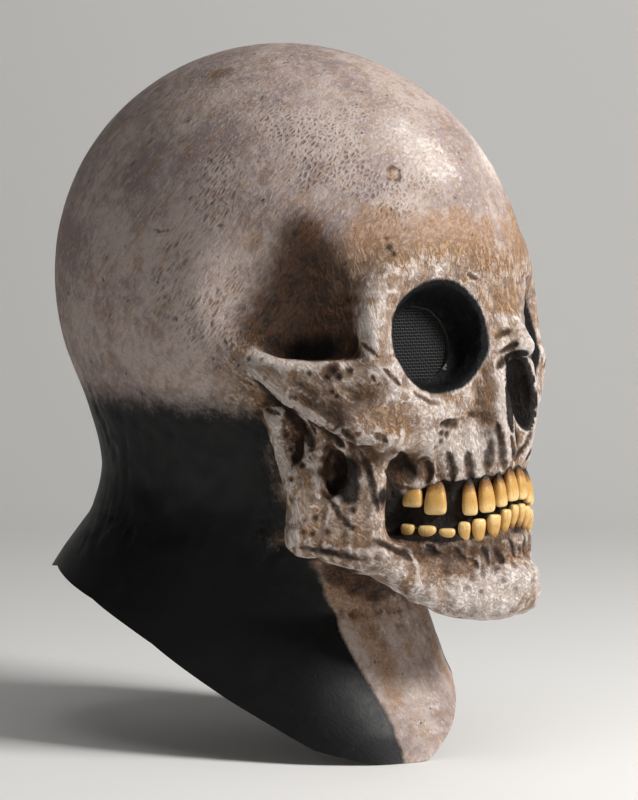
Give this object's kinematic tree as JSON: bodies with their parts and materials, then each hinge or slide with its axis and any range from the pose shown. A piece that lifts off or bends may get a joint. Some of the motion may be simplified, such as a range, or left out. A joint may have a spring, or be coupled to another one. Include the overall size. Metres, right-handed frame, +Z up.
{
  "type": "overhead skull mask",
  "caption": "Full overhead latex skull mask with a deep neck skirt, screened eye sockets and bared teeth.",
  "frame": {"origin": "inside of the crown, where the mask sits on the top of a head", "axes": "+Z up; the wearer looks towards -Y; +X is the wearer's left"},
  "size_m": [0.1856, 0.2708, 0.3398],
  "materials": {
    "painted_latex": "matt bone-coloured paint with brown stains over latex, black on the neck and inside",
    "eye_gauze": "black woven see-through gauze",
    "enamel": "glossy yellowed enamel, brown at the roots"
  },
  "bodies": {
    "root": {"eye_screen_left": "eye_gauze", "eye_screen_right": "eye_gauze", "latex_shell": "painted_latex", "tooth_lower_1_left": "enamel", "tooth_lower_1_right": "enamel", "tooth_lower_2_left": "enamel", "tooth_lower_2_right": "enamel", "tooth_lower_3_left": "enamel", "tooth_lower_3_right": "enamel", "tooth_lower_4_left": "enamel", "tooth_lower_4_right": "enamel", "tooth_lower_5_left": "enamel", "tooth_lower_5_right": "enamel", "tooth_lower_6_left": "enamel", "tooth_lower_6_right": "enamel", "tooth_lower_7_left": "enamel", "tooth_lower_7_right": "enamel", "tooth_lower_8_left": "enamel", "tooth_lower_8_right": "enamel", "tooth_upper_1_left": "enamel", "tooth_upper_1_right": "enamel", "tooth_upper_2_left": "enamel", "tooth_upper_2_right": "enamel", "tooth_upper_3_left": "enamel", "tooth_upper_3_right": "enamel", "tooth_upper_4_left": "enamel", "tooth_upper_4_right": "enamel", "tooth_upper_5_left": "enamel", "tooth_upper_6_left": "enamel", "tooth_upper_6_right": "enamel", "tooth_upper_7_left": "enamel", "tooth_upper_7_right": "enamel"}
  },
  "joints": []
}
